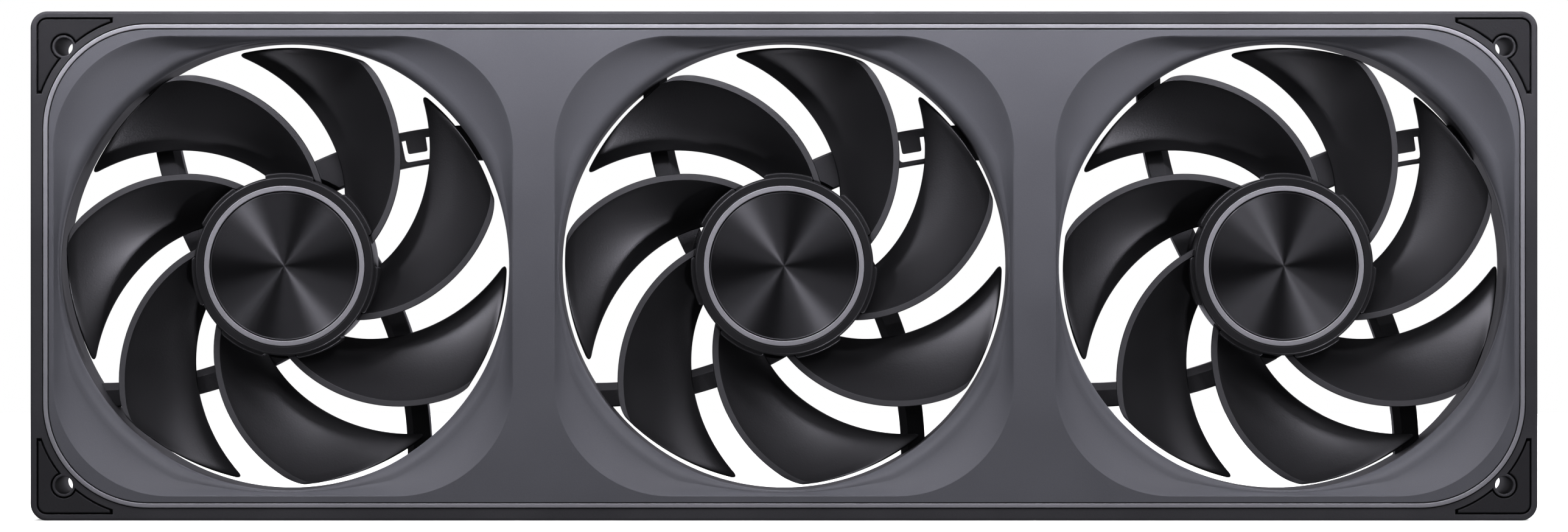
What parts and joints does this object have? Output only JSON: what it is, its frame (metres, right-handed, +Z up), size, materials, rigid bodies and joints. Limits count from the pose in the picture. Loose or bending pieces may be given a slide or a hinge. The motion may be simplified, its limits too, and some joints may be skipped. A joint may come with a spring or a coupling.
{
  "type": "radiator fan unit",
  "caption": "Flat cooling unit: axial fans side by side in one long chassis, each behind a dished intake surround, with its motor held on curved struts.",
  "frame": {"origin": "middle of the underside, on the surface that the unit stands on", "axes": "+X along the length, to the right seen from the intake side; -Y out of the intake face; +Z up"},
  "size_m": [0.361, 0.028, 0.122],
  "materials": {
    "chassis_plastic": "fine-grained moulded black, satin",
    "bezel_coating": "slate grey, very fine powder-like grain",
    "trim_metal": "light slate grey, satin",
    "pad_rubber": "matt, finely textured",
    "impeller_plastic": "deep black, faint satin sheen",
    "hub_ring_coating": "light slate grey, satin",
    "spun_metal": "dark anodised, fine concentric turning",
    "motor_steel": "bare steel",
    "magnet": "dull bonded ferrite",
    "bearing_brass": "sintered, oily",
    "winding": "enamelled copper wire",
    "circuit_board": "green solder mask",
    "lead_jacket": "black flat lead, satin",
    "label_film": "blank dark film, satin",
    "socket_plastic": "black nylon",
    "contact_brass": "plated contacts",
    "screw_steel": "black zinc"
  },
  "bodies": {
    "frame": {"chassis": "chassis_plastic", "front_bezel": "bezel_coating", "trim_ring": "trim_metal", "front_pad_top_right": "pad_rubber", "rear_pad_top_right": "pad_rubber", "front_pad_top_left": "pad_rubber", "rear_pad_top_left": "pad_rubber", "front_pad_bottom_left": "pad_rubber", "rear_pad_bottom_left": "pad_rubber", "front_pad_bottom_right": "pad_rubber", "rear_pad_bottom_right": "pad_rubber", "bearing_sleeve_1": "bearing_brass", "stator_core_1": "motor_steel", "stator_windings_1": "winding", "motor_board_1": "circuit_board", "motor_lead_1": "lead_jacket", "rear_label_1": "label_film", "bearing_sleeve_2": "bearing_brass", "stator_core_2": "motor_steel", "stator_windings_2": "winding", "motor_board_2": "circuit_board", "motor_lead_2": "lead_jacket", "rear_label_2": "label_film", "bearing_sleeve_3": "bearing_brass", "stator_core_3": "motor_steel", "stator_windings_3": "winding", "motor_board_3": "circuit_board", "motor_lead_3": "lead_jacket", "rear_label_3": "label_film", "distribution_board": "circuit_board", "fan_socket": "socket_plastic", "socket_pins": "contact_brass", "bezel_screw_1": "screw_steel", "bezel_screw_2": "screw_steel", "bezel_screw_3": "screw_steel", "bezel_screw_4": "screw_steel", "bezel_screw_5": "screw_steel", "bezel_screw_6": "screw_steel", "bezel_screw_7": "screw_steel", "bezel_screw_8": "screw_steel"},
    "rotor_1": {"impeller_1": "impeller_plastic", "hub_ring_1": "hub_ring_coating", "hub_cap_1": "spun_metal", "rotor_yoke_1": "motor_steel", "magnet_ring_1": "magnet", "rotor_shaft_1": "motor_steel"},
    "rotor_2": {"impeller_2": "impeller_plastic", "hub_ring_2": "hub_ring_coating", "hub_cap_2": "spun_metal", "rotor_yoke_2": "motor_steel", "magnet_ring_2": "magnet", "rotor_shaft_2": "motor_steel"},
    "rotor_3": {"impeller_3": "impeller_plastic", "hub_ring_3": "hub_ring_coating", "hub_cap_3": "spun_metal", "rotor_yoke_3": "motor_steel", "magnet_ring_3": "magnet", "rotor_shaft_3": "motor_steel"}
  },
  "joints": [
    {"name": "rotor_1_spin", "type": "hinge", "parent": "frame", "child": "rotor_1", "pos_m": [-0.12, 0, 0.061], "axis": [0, 1, 0], "continuous": true},
    {"name": "rotor_2_spin", "type": "hinge", "parent": "frame", "child": "rotor_2", "pos_m": [0, 0, 0.061], "axis": [0, 1, 0], "continuous": true},
    {"name": "rotor_3_spin", "type": "hinge", "parent": "frame", "child": "rotor_3", "pos_m": [0.12, 0, 0.061], "axis": [0, 1, 0], "continuous": true}
  ]
}
